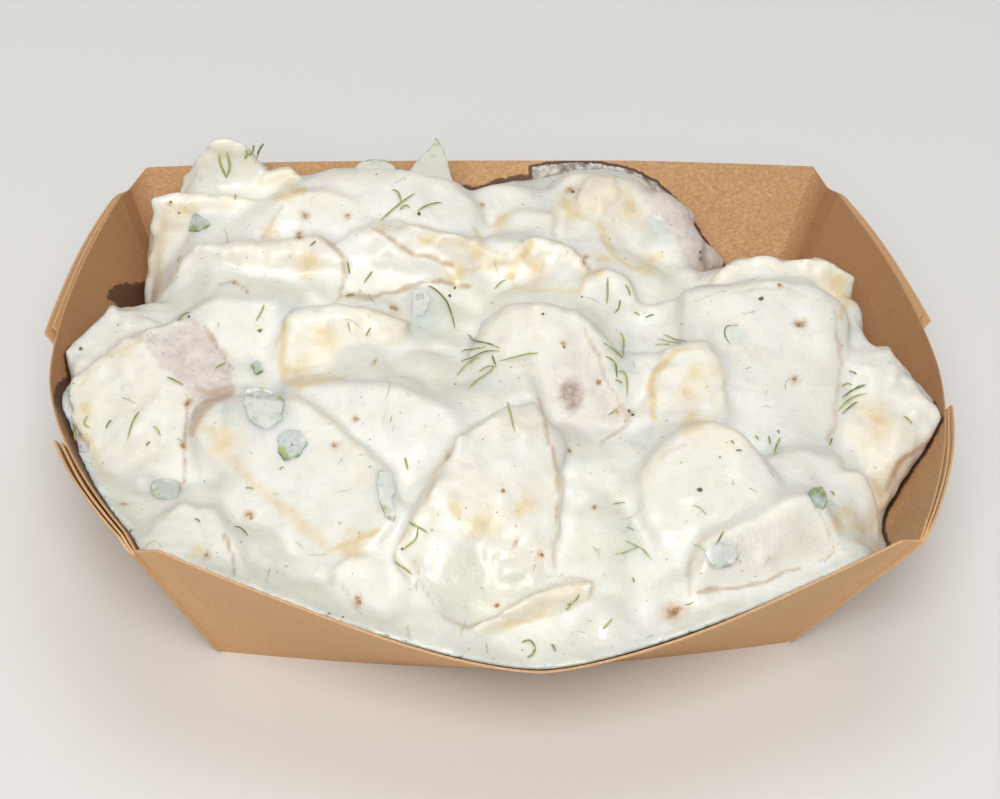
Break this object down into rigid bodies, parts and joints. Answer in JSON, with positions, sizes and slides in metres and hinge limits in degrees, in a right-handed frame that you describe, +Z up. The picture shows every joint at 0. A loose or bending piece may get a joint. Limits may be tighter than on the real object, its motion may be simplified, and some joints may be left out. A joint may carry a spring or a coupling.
{
  "type": "potato salad",
  "caption": "Creamy potato salad with dill and onion, heaped in a folded brown kraft board tray with flared, bowed walls.",
  "frame": {"origin": "middle of the object's footprint box, on the surface that the tray stands on", "axes": "+X along the tray's long way, to the right as seen from the front; +Y from the front to the back; +Z up"},
  "size_m": [0.1896, 0.1474, 0.0694],
  "materials": {
    "kraft_board": "uncoated brown kraft board, matt",
    "dressed_potato": "boiled potato under a wet, creamy dressing; gloss_plastic stands in for food",
    "potato_skin": null,
    "onion": null,
    "dill": null,
    "pepper": null
  },
  "bodies": {
    "root": {"tray": "kraft_board", "potato_salad": "dressed_potato"}
  },
  "joints": []
}
